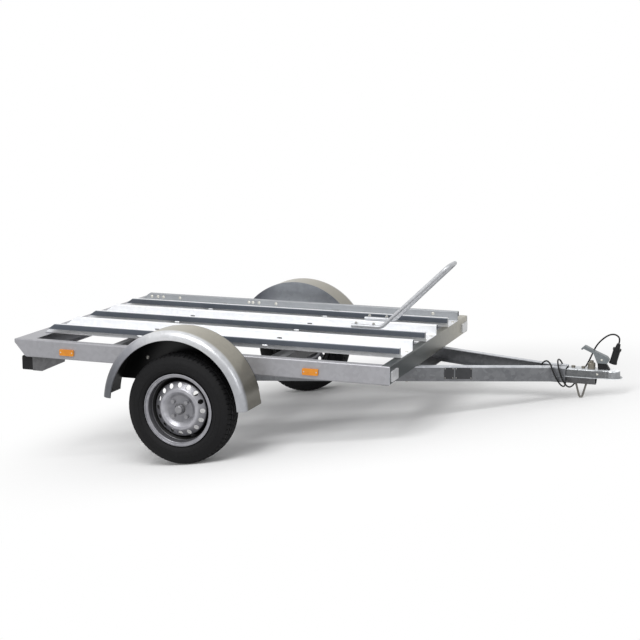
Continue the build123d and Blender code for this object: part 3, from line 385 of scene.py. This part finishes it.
frame_zinc = galvanised("frame_zinc", (0.34, 0.34, 0.36), (0.40, 0.40, 0.425))
channel_zinc = {side: channel_look(side, centre) for side, centre in CHANNEL_CENTRES}
beam_zinc = galvanised(
    "beam_zinc",
    (0.135, 0.14, 0.15),
    (0.21, 0.215, 0.225),
    # Painted highlight on the beams' upper faces
    zones=[(toward, (UP, *UPPER_FACE_SPAN), UPPER_FACE_HIGHLIGHT)],
)
under_zinc = galvanised("under_zinc", (0.10, 0.10, 0.105), (0.165, 0.165, 0.17))
fender_zinc = galvanised(
    "fender_zinc",
    (0.66, 0.67, 0.69),
    (0.78, 0.79, 0.81),
    metallic=0.5,
    rough=(0.26, 0.36),
    zones=[
        # Painted shade on the fender's wall and a painted reflection on its top
        (across, (0.0, *FENDER_SPAN), FENDER_ZONES),
        # Painted shade on the fender's underside
        (under_arch, (*ARCH_SPAN, *BAND_SPAN), FENDER_UNDERSIDE_SHADE),
        # Painted shade and a painted highlight along the fender
        (toward, (AHEAD, *FENDER_RUN_SPAN), FENDER_RUN_SHADE_AND_HIGHLIGHT),
    ],
)
# The front crossmember carries painted shade and a painted reflection along it
end_zinc = galvanised(
    "end_zinc",
    grey(0.24),
    grey(0.33),
    zones=[(across, (-HALF_FRAME, *CROSSMEMBER_SPAN), CROSSMEMBER_SHADE_AND_REFLECTION)],
)
pressed_zinc = galvanised(
    "pressed_zinc",
    (0.105, 0.11, 0.115),
    (0.165, 0.17, 0.175),
    rough=(0.25, 0.38),
    spangle=120.0,
    zones=[
        # Painted highlights on the coupling's flange and top
        (toward, (UP, *COUPLING_SPAN), COUPLING_HIGHLIGHTS),
        # A painted highlight over the ball
        (toward, (AHEAD, *NOSE_SPAN), NOSE_HIGHLIGHT),
    ],
)
handle_zinc = galvanised("handle_zinc", (0.15, 0.165, 0.175), (0.22, 0.24, 0.25), spangle=150.0)
foot_zinc = galvanised("foot_zinc", (0.15, 0.143, 0.132), (0.22, 0.21, 0.19), spangle=150.0)
stud_zinc = galvanised("stud_zinc", (0.17, 0.155, 0.13), (0.26, 0.24, 0.20), spangle=220.0)
hub_zinc = galvanised(
    "hub_zinc",
    (0.24, 0.24, 0.25),
    (0.33, 0.33, 0.345),
    rough=(0.3, 0.45),
    spangle=220.0,
)
bolt_zinc = galvanised(
    "bolt_zinc",
    (0.50, 0.49, 0.45),
    (0.66, 0.65, 0.60),
    rough=(0.25, 0.4),
    spangle=220.0,
)
tube_zinc = galvanised("tube_zinc", (0.42, 0.43, 0.45), (0.58, 0.59, 0.61), spangle=150.0)
wheel_silver = plain(
    "wheel_silver",
    (0.23, 0.23, 0.25),
    (0.31, 0.31, 0.33),
    (0.34, 0.44),
    metallic=0.7,
    zones=[
        # Painted shade behind the wheel's disc
        (across, (0.0, *WHEEL_SPAN), WHEEL_BACK_SHADE),
        # Painted highlights on the wheel's crest and rim edge, painted shade in the gap between
        (from_line, (HUB_LINE, *RADIUS_SPAN), RADIUS_SHADE_AND_HIGHLIGHTS),
    ],
)
cast_grey = plain("cast_grey", grey(0.10), grey(0.20), (0.5, 0.7), metallic=0.7)
tyre_black = plain("tyre_black", (0.006, 0.006, 0.0065), (0.012, 0.012, 0.013), (0.6, 0.8), scale=90.0)
black_plastic = plain(
    "black_plastic",
    (0.010, 0.010, 0.011),
    (0.020, 0.020, 0.021),
    (0.38, 0.5),
    scale=300.0,
)
label_black = plain(
    "label_black",
    (0.020, 0.021, 0.024),
    (0.035, 0.036, 0.040),
    (0.3, 0.4),
    scale=30.0,
    grain=0.0,
)
cable_black = plain("cable_black", grey(0.008), grey(0.018), (0.35, 0.45), scale=120.0)
BLACK_SHEEN = 0.2
for material in (tyre_black, black_plastic, cable_black):
    shader = material.node_tree.nodes["Principled BSDF"]
    shader.inputs["Specular IOR Level"].default_value = BLACK_SHEEN
lens_plastic = plain(
    "lens_plastic",
    grey(0.80),
    grey(0.90),
    (0.12, 0.2),
    zones=[(across, (0.0, *LENS_SPAN), LENS_ZONES)],
)
amber_lens = plain("amber_lens", (0.75, 0.24, 0.01), (0.88, 0.33, 0.015), (0.12, 0.2))
clear_lens = plain("clear_lens", (0.70, 0.71, 0.73), (0.82, 0.83, 0.85), (0.1, 0.18))

LOOKS = {
    "side_rail": frame_zinc,
    "front_crossmember": end_zinc,
    "rear_crossmember": frame_zinc,
    "front_bearer": under_zinc,
    "rear_bearer": under_zinc,
    "wheel_hoop": tube_zinc,
    "drawbar_beam": beam_zinc,
    "nose_tube": under_zinc,
    "tie_plate": under_zinc,
    "coupling_body": pressed_zinc,
    "coupling_handle": handle_zinc,
    "coupling_latch": black_plastic,
    "coupling_bolts": stud_zinc,
    "parking_foot": foot_zinc,
    "axle_tube": under_zinc,
    "axle_hanger": under_zinc,
    "trailing_arm": cast_grey,
    "fender": fender_zinc,
    "lamp_bracket": under_zinc,
    "rear_lamp": black_plastic,
    "lamp_lens": lens_plastic,
    "side_reflectors": amber_lens,
    "front_reflectors": clear_lens,
    "cable_gland": black_plastic,
    "cable": cable_black,
    "plug": black_plastic,
    "tyre": tyre_black,
    "steel_wheel": wheel_silver,
    "hub": hub_zinc,
}
for name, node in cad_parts.items():
    family, _, side = name.rpartition("_")
    if family == "wheel_channel":
        look_of = channel_zinc[side]
    else:
        look_of = LOOKS[family if side in ("left", "right") else name]
    node.data.materials.clear()
    node.data.materials.append(look_of)


# Pieces drawn level and set down on the parked trailer
def piece(name, points, faces, material, body="trailer", smooth=False):
    mesh = bpy.data.meshes.new(name)
    mesh.from_pydata([parked(*point) for point in points], [], faces)
    mesh.materials.append(material)
    if smooth:
        for face in mesh.polygons:
            face.use_smooth = True
    obj = bpy.data.objects.new(name, mesh)
    scene.collection.objects.link(obj)
    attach(obj, body)
    return obj


def mirrored(x, y, z, normal):
    """Places on both sides of the trailer as (centre, normal), from those on its left side."""
    return [
        ((one_x, hand * one_y, z), (normal[0], hand * normal[1], normal[2]))
        for one_x in x
        for one_y in y
        for hand in HANDS
    ]


def turned(points, faces, centre, normal, profile, sides):
    """Adds a turned form: its profile is (radius, height) from the base up along the normal."""
    axis = Vector(normal).normalized()
    one = axis.orthogonal().normalized()
    two = axis.cross(one)
    start = len(points)
    for radius, height in profile:
        for i in range(sides):
            angle = 2 * math.pi * i / sides
            spoke = one * math.cos(angle) + two * math.sin(angle)
            points.append(Vector(centre) + axis * height + spoke * radius)
    for ring in range(len(profile) - 1):
        for i in range(sides):
            j = (i + 1) % sides
            low = start + ring * sides
            faces.append((low + i, low + j, low + sides + j, low + sides + i))
    top = start + (len(profile) - 1) * sides
    faces.append(tuple(range(top, top + sides)))


# Profiles of a washer and a chamfered head, as shares of the head's radius, and a dome's angles
WASHER = ((1.25, 0.0), (1.25, 0.2))
HEXAGON = ((1.0, 0.2), (1.0, 0.75), (0.86, 0.85))
DOME_ANGLES = (0, 22, 45, 66, 84)


def hex_bolts(name, places, radius):
    """Washers with chamfered hexagon heads on them. Places are (centre, normal)."""
    washer = [(radius * out, radius * rise) for out, rise in WASHER]
    head = [(radius * out, radius * rise) for out, rise in HEXAGON]
    points, faces = [], []
    for centre, normal in places:
        turned(points, faces, centre, normal, washer, sides=24)
        turned(points, faces, centre, normal, head, sides=6)
    piece(name, points, faces, bolt_zinc)


def domes(name, places, radius, height):
    """Round-headed bolts, rivets or screws. Places are (centre, normal)."""
    angles = [math.radians(angle) for angle in DOME_ANGLES]
    arc = [(radius * math.cos(angle), height * math.sin(angle)) for angle in angles]
    points, faces = [], []
    for centre, normal in places:
        turned(points, faces, centre, normal, arc, sides=18)
    piece(name, points, faces, bolt_zinc, smooth=True)


def block(points, faces, corner, one, two, three):
    """Adds a box from a corner and three edges."""
    start = len(points)
    corner, one, two, three = (Vector(v) for v in (corner, one, two, three))
    for k in (0, 1):
        for j in (0, 1):
            for i in (0, 1):
                points.append(corner + one * i + two * j + three * k)
    for quad in ((0, 2, 3, 1), (4, 5, 7, 6), (0, 1, 5, 4), (2, 6, 7, 3), (0, 4, 6, 2), (1, 3, 7, 5)):
        faces.append(tuple(start + i for i in quad))


# A weld bead's facets, its ripples' pitch and size, and its ends and height as shares of its radius
BEAD_SIDES = 6
RIPPLE_PITCH = 0.0022
RIPPLE = 0.16
BEAD_END = 0.4
BEAD_HEIGHT = 0.7


def bead(points, faces, start, end, normal, radius):
    """Adds a weld bead: a low ridge with ripples along its run."""
    start, end, normal = Vector(start), Vector(end), Vector(normal).normalized()
    run = end - start
    side = run.normalized().cross(normal)
    rings = max(8, int(run.length / RIPPLE_PITCH))
    first = len(points)
    for i in range(rings + 1):
        ripple = radius * (1.0 + RIPPLE * math.cos(math.pi * i))
        if i in (0, rings):
            ripple = radius * BEAD_END
        for j in range(BEAD_SIDES + 1):
            angle = math.pi * j / BEAD_SIDES
            offset = side * math.cos(angle) * ripple + normal * math.sin(angle) * ripple * BEAD_HEIGHT
            points.append(start + run * i / rings + offset)
    for i in range(rings):
        for j in range(BEAD_SIDES):
            low = first + i * (BEAD_SIDES + 1) + j
            high = low + BEAD_SIDES + 1
            faces.append((low, high, high + 1, low + 1))


# Tyres with a block tread, and rings on their walls. A block takes one pitch of the tread, with
# steps at these shares of it, and from CUT_STEP on they lie in the cut before the next block.
BLOCKS = 66
STEPS = (0.0, 0.28, 0.56, 0.80, 0.85, 0.95)
CUT_STEP = 4
CUT_DEPTHS = {"shoulder": 0.005, "rib": 0.004, "centre": 0.002}
SHOULDER_START = 0.0385
SHOULDER_CUT_END = 0.061
SHOULDER_RUN = 0.03
SHOULDER_SKEW = 0.20
RIB_END = 0.0295
RIB_RUN = 0.017
CENTRE_SKEW = -0.6
GROOVE_SKEW = -0.3
INNER_GROOVE_END = 0.02
TYRE_EDGE = math.radians(28)


def tyre_section():
    """The section's points as (across, out, row): row says which tread row a point is in."""
    wall = [
        (0.0564, 0.1658), (0.0564, 0.1800), (0.0590, 0.1835), (0.0640, 0.1862), (0.0690, 0.1900),
        (0.0722, 0.1950), (0.0744, 0.2000), (0.0760, 0.2048), (0.0772, 0.2052), (0.0774, 0.2070),
        (0.0766, 0.2076), (0.0772, 0.2120), (0.0776, 0.2180), (0.0772, 0.2240), (0.0762, 0.2296),
        (0.0766, 0.2300), (0.0764, 0.2320), (0.0754, 0.2324), (0.0738, 0.2380), (0.0714, 0.2440),
        (0.0690, 0.2488),
    ]
    tread = [
        (0.0672, 0.2528, "shoulder"), (0.0652, 0.2580, "shoulder"), (0.0630, 0.2625, "shoulder"),
        (0.0590, 0.2668, "shoulder"), (0.0530, 0.2697, "shoulder"), (0.0450, 0.2711, "shoulder"),
        (SHOULDER_START, 0.2718, "shoulder"), (0.0365, 0.2650, "groove"), (0.0315, 0.2650, "groove"),
        (RIB_END, 0.2724, "rib"), (0.0210, 0.2729, "rib"), (0.0125, 0.2732, "rib"),
        (0.0108, 0.2662, "groove"), (0.0062, 0.2662, "groove"), (0.0045, 0.27345, "centre"),
    ]
    half = [(u, r, None) for u, r in wall] + tread
    return half + [(-u, r, row) for u, r, row in reversed(half)]


def skew_of(u, row):
    """How far round the tread a point is shifted, as a share of a block's pitch."""
    off = abs(u)
    if row == "shoulder":
        return SHOULDER_SKEW * (off - SHOULDER_START) / SHOULDER_RUN
    if row == "rib":
        return CENTRE_SKEW * (RIB_END - off) / RIB_RUN
    if row == "centre":
        return CENTRE_SKEW
    if row == "groove" and off < INNER_GROOVE_END:
        return GROOVE_SKEW
    return 0.0


def cut_of(u, row):
    """How deep the cut between two blocks is at a point of the section."""
    if row == "shoulder" and abs(u) >= SHOULDER_CUT_END:
        return 0.0
    return CUT_DEPTHS.get(row, 0.0)


def treaded_tyre(side, hand):
    section = tyre_section()
    points, faces = [], []
    for number in range(BLOCKS):
        for step, place in enumerate(STEPS):
            for u, r, row in section:
                radius = r - cut_of(u, row) if step >= CUT_STEP else r
                angle = 2 * math.pi * (number + place + skew_of(u, row)) / BLOCKS
                points.append((radius * math.cos(angle), hand * WHEEL_Y + u, radius * math.sin(angle)))
    rings = BLOCKS * len(STEPS)
    count = len(section)
    for i in range(rings):
        here = i * count
        there = ((i + 1) % rings) * count
        for j in range(count - 1):
            faces.append((here + j, there + j, there + j + 1, here + j + 1))
        faces.append((here + count - 1, there + count - 1, there, here))
    name = f"treaded_tyre_{side}"
    tyre = piece(name, points, faces, tyre_black, f"wheel_{side}", smooth=True)
    tyre.data.set_sharp_from_angle(angle=TYRE_EDGE)
    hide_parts(f"tyre_{side}")


# Valve stems, through the rims' outer slopes. The profile is (radius, height) along the stem.
VALVE_ANGLE = math.radians(-62)
VALVE_REACH = 0.1465
VALVE_OUTBOARD = 0.014
VALVE_LEAN = 0.18
VALVE_PROFILE = (
    (0.0075, -0.004),
    (0.0075, 0.002),
    (0.0052, 0.005),
    (0.0046, 0.024),
    (0.0044, 0.034),
    (0.0036, 0.036),
)


def valve(side, hand):
    spoke = Vector((math.cos(VALVE_ANGLE), 0, math.sin(VALVE_ANGLE)))
    foot = Vector((0, hand * (WHEEL_Y + VALVE_OUTBOARD), 0)) + spoke * VALVE_REACH
    lean = Vector((0, hand, 0)) - spoke * VALVE_LEAN
    points, faces = [], []
    turned(points, faces, foot, lean, VALVE_PROFILE, sides=18)
    piece(f"valve_{side}", points, faces, black_plastic, f"wheel_{side}", smooth=True)


for side, hand in SIDES:
    treaded_tyre(side, hand)
for side, hand in SIDES:
    valve(side, hand)

# Bolts through the channels' floors into the crossmembers and bearers, with nuts under them, and
# heads on the inside of the left channel's outer wall
CHANNEL_SEATS = (1.000, 0.462, -0.438, -0.925)
CHANNEL_BOLT_OFFSET = 0.055
WALL_BOLTS = (-0.859, -0.819, -0.783, -0.674, -0.231, -0.206, -0.168, -0.062, 0.875)
WALL_BOLT_Y = 0.5330
WALL_BOLT_LEVEL = 0.292
heads, nuts = [], []
for _, centre in CHANNEL_CENTRES:
    for x in CHANNEL_SEATS:
        for y in (centre - CHANNEL_BOLT_OFFSET, centre + CHANNEL_BOLT_OFFSET):
            heads.append(((x, y, CHANNEL_FLOOR), UPWARD))
            nuts.append(((x, y, FLANGE_UNDERSIDE), DOWNWARD))
for x in WALL_BOLTS:
    heads.append(((x, WALL_BOLT_Y, WALL_BOLT_LEVEL), (0, -1, 0)))
domes("channel_bolts", heads, radius=0.0095, height=0.0045)
hex_bolts("channel_nuts", nuts, radius=0.0075)

# Nuts on the hoop's feet, and bolts of the tie plate, the hangers and the fenders
hoop_nuts = mirrored(x=(0.645, 0.740), y=(0.1115,), z=0.3378, normal=UPWARD)
hex_bolts("hoop_nuts", hoop_nuts, radius=0.0062)
tie_bolts = mirrored(x=(0.967,), y=(0.235, 0.265), z=0.091, normal=DOWNWARD)
hex_bolts("tie_bolts", tie_bolts, radius=0.0085)
hanger_bolts = mirrored(x=(0.065, 0.155), y=(0.7075,), z=0.1600, normal=DOWNWARD)
hex_bolts("hanger_bolts", hanger_bolts, radius=0.0080)
fender_bolts = mirrored(x=(-0.24, -0.014, 0.212), y=(0.732,), z=0.215, normal=OUTWARD)
domes("fender_bolts", fender_bolts, radius=0.010, height=0.005)

# Weld beads at the frame's front corners, at the hangers and along the drawbar's nose. The rows
# are (start, end, normal, radius) on the left side.
BEADS = (
    ((1.0198, 0.7268, 0.170), (1.0198, 0.7268, 0.254), (1, 0, 0), 0.0026),
    ((0.045, 0.690, 0.098), (0.045, 0.690, 0.154), (0, -1, 0), 0.0026),
    ((0.175, 0.690, 0.098), (0.175, 0.690, 0.154), (0, -1, 0), 0.0026),
    ((1.652, 0.0475, 0.119), (1.720, 0.0475, 0.119), (0, 1, 0), 0.0022),
)
points, faces = [], []
for hand in HANDS:
    mirror = Vector((1, hand, 1))
    for start, end, normal, radius in BEADS:
        start, end, normal = (Vector(v) * mirror for v in (start, end, normal))
        bead(points, faces, start, end, normal, radius)
piece("weld_beads", points, faces, beam_zinc, smooth=True)

# Blank label plates on the right beam, with rivets at their corners. Each is (from, to) along it.
BEAM_FRONT = Vector((FRAME_FRONT, -0.270, 0.0))
BEAM_REACH = 0.630
BEAM_INSET = 0.223
BEAM_RUN = Vector((BEAM_REACH, BEAM_INSET, 0.0)).normalized()
BEAM_OUT = Vector((BEAM_INSET, -BEAM_REACH, 0.0)).normalized()
LABELS = ((0.136, 0.185), (0.191, 0.275))
LABEL_SHEET = 0.0014
LABEL_BOTTOM = 0.103
LABEL_HEIGHT = 0.057
RIVET_INSET = 0.005
RIVET_LEVELS = (0.108, 0.155)
points, faces, rivets = [], [], []
for near, far in LABELS:
    corner = BEAM_FRONT + BEAM_RUN * near + Vector((0, 0, LABEL_BOTTOM))
    edges = (BEAM_RUN * (far - near), BEAM_OUT * LABEL_SHEET, (0, 0, LABEL_HEIGHT))
    block(points, faces, corner, *edges)
    for along in (near + RIVET_INSET, far - RIVET_INSET):
        face = BEAM_FRONT + BEAM_RUN * along + BEAM_OUT * LABEL_SHEET
        for level in RIVET_LEVELS:
            rivets.append((face + Vector((0, 0, level)), BEAM_OUT))
piece("label_plates", points, faces, label_black)
domes("label_rivets", rivets, radius=0.0022, height=0.0012)

# Screws in the lenses, rivets in the reflectors, pins and rivets of the coupling
lamp_screws = mirrored(x=(-0.978,), y=(0.560, 0.652), z=0.129, normal=BACKWARD)
domes("lamp_screws", lamp_screws, radius=0.0042, height=0.0016)
side_rivets = mirrored(x=(-0.732, -0.668, 0.594, 0.658), y=(0.739,), z=0.204, normal=OUTWARD)
front_rivets = mirrored(x=(1.028,), y=(0.615, 0.699), z=0.204, normal=FORWARD)
domes("reflector_rivets", side_rivets + front_rivets, radius=0.0032, height=0.0014)
lever_pins = mirrored(x=(1.893,), y=(0.017,), z=0.211, normal=OUTWARD)
body_rivets = mirrored(x=(1.876,), y=(0.0355,), z=0.141, normal=OUTWARD)
domes("coupling_pins", lever_pins + body_rivets, radius=0.0062, height=0.0030)

# Cable, along the same points as the solid
CABLE_ROUTE = [
    (1.545, -0.060, 0.128),
    (1.560, -0.030, 0.130),
    (1.582, -0.012, 0.150),
    (1.600, -0.010, 0.178),
    (1.624, -0.028, 0.194),
    (1.648, -0.058, 0.184),
    (1.662, -0.068, 0.150),
    (1.680, -0.066, 0.112),
    (1.700, -0.054, 0.078),
    (1.710, -0.016, 0.062),
    (1.710, 0.024, 0.064),
    (1.706, 0.056, 0.084),
    (1.698, 0.068, 0.120),
    (1.688, 0.064, 0.158),
    (1.678, 0.038, 0.188),
    (1.674, 0.000, 0.197),
    (1.680, -0.038, 0.188),
    (1.692, -0.064, 0.158),
    (1.706, -0.068, 0.120),
    (1.722, -0.056, 0.084),
    (1.736, -0.024, 0.063),
    (1.746, 0.016, 0.061),
    (1.758, 0.052, 0.078),
    (1.776, 0.072, 0.112),
    (1.800, 0.074, 0.152),
    (1.822, 0.064, 0.194),
    (1.840, 0.048, 0.236),
    (1.858, 0.032, 0.274),
    (1.884, 0.016, 0.306),
    (1.914, 0.005, 0.332),
    (1.942, 0.000, 0.343),
    (1.966, 0.000, 0.336),
    (1.977, 0.000, 0.317),
    (1.9715, 0.000, 0.2955),
]
CABLE_RADIUS = 0.004


def trailer_cable():
    data = bpy.data.curves.new("trailer_cable", "CURVE")
    data.dimensions = "3D"
    spline = data.splines.new("NURBS")
    spline.points.add(len(CABLE_ROUTE) - 1)
    for point, place in zip(spline.points, CABLE_ROUTE):
        point.co = (*parked(*place), 1.0)
    spline.order_u = 3
    spline.use_endpoint_u = True
    data.resolution_u = 8
    data.bevel_depth = CABLE_RADIUS
    data.bevel_resolution = 4
    data.use_fill_caps = True
    obj = bpy.data.objects.new("trailer_cable", data)
    scene.collection.objects.link(obj)
    data.materials.append(cable_black)
    return obj


cable = trailer_cable()
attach(cable, "trailer")
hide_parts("cable")


# Floor and light
def seen_rays(graph):
    """1 for the rays that show the background: from the camera, from gloss and through glass."""
    rays = graph.nodes.new("ShaderNodeLightPath").outputs
    seen = calculate(graph, "MAXIMUM", rays["Is Camera Ray"], rays["Is Glossy Ray"])
    return calculate(graph, "MAXIMUM", seen, rays["Is Transmission Ray"])


FLOOR_REACH = 30.0
FLOOR_GAP = 0.0005
FLOOR_LIT = (0.30, 0.30, 0.30, 1.0)
FLOOR_SEEN = (0.90, 0.90, 0.90, 1.0)
FADE_START = 0.8
FADE_END = 2.2


def floor_look():
    """A pale floor that keeps the trailer's shadow and fades to white away from it."""
    material, graph, shader = new_material("floor_white")
    seen = seen_rays(graph)
    pale = graph.nodes.new("ShaderNodeMix")
    pale.data_type = "RGBA"
    pale.inputs["A"].default_value = FLOOR_LIT
    pale.inputs["B"].default_value = FLOOR_SEEN
    graph.links.new(seen, pale.inputs["Factor"])
    graph.links.new(pale.outputs["Result"], shader.inputs["Base Color"])
    shader.inputs["Roughness"].default_value = 0.9
    glow = graph.nodes.new("ShaderNodeEmission")
    glow.inputs["Strength"].default_value = 1.0
    place = graph.nodes.new("ShaderNodeNewGeometry").outputs["Position"]
    reach = vector_maths(graph, "LENGTH", place).outputs["Value"]
    fade = spread(graph, reach, FADE_START, FADE_END, smooth=True)
    blend = graph.nodes.new("ShaderNodeMixShader")
    graph.links.new(calculate(graph, "MULTIPLY", fade, seen), blend.inputs["Fac"])
    graph.links.new(shader.outputs["BSDF"], blend.inputs[1])
    graph.links.new(glow.outputs["Emission"], blend.inputs[2])
    graph.links.new(blend.outputs["Shader"], graph.nodes.get("Material Output").inputs["Surface"])
    return material


floor_mesh = bpy.data.meshes.new("floor")
corners = [(x * FLOOR_REACH, y * FLOOR_REACH, 0) for x, y in ((-1, -1), (1, -1), (1, 1), (-1, 1))]
floor_mesh.from_pydata(corners, [], [(0, 1, 2, 3)])
floor = bpy.data.objects.new("floor", floor_mesh)
floor.location.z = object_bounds()[0][2] - FLOOR_GAP
scene.collection.objects.link(floor)
floor_mesh.materials.append(floor_look())

# The white that the camera sees is brighter than the light that the surroundings give
WORLD_SEEN = 1.0
WORLD_LIGHT = 0.55
LAMP_TARGET = Vector((0, 0, 0.3))


def background(graph, strength):
    node = graph.nodes.new("ShaderNodeBackground")
    node.inputs["Color"].default_value = (1, 1, 1, 1)
    node.inputs["Strength"].default_value = strength
    return node.outputs[0]


def studio():
    world = bpy.data.worlds.new("studio")
    scene.world = world
    world.use_nodes = True
    graph = world.node_tree
    graph.nodes.clear()
    choose = graph.nodes.new("ShaderNodeMixShader")
    output = graph.nodes.new("ShaderNodeOutputWorld")
    graph.links.new(seen_rays(graph), choose.inputs["Fac"])
    graph.links.new(background(graph, WORLD_LIGHT), choose.inputs[1])
    graph.links.new(background(graph, WORLD_SEEN), choose.inputs[2])
    graph.links.new(choose.outputs[0], output.inputs["Surface"])


def lamp(name, place, size, energy):
    data = bpy.data.lights.new(name, "AREA")
    data.shape = "RECTANGLE"
    data.size, data.size_y = size
    data.energy = energy
    light = bpy.data.objects.new(name, data)
    light.location = place
    light.rotation_euler = (LAMP_TARGET - Vector(place)).to_track_quat("-Z", "Y").to_euler()
    scene.collection.objects.link(light)


studio()
lamp("key", place=(0.2, -3.4, 4.7), size=(3.0, 3.0), energy=175)
lamp("front_fill", place=(5.0, -4.0, 2.5), size=(3.0, 2.0), energy=60)

scene.view_settings.view_transform = "Standard"
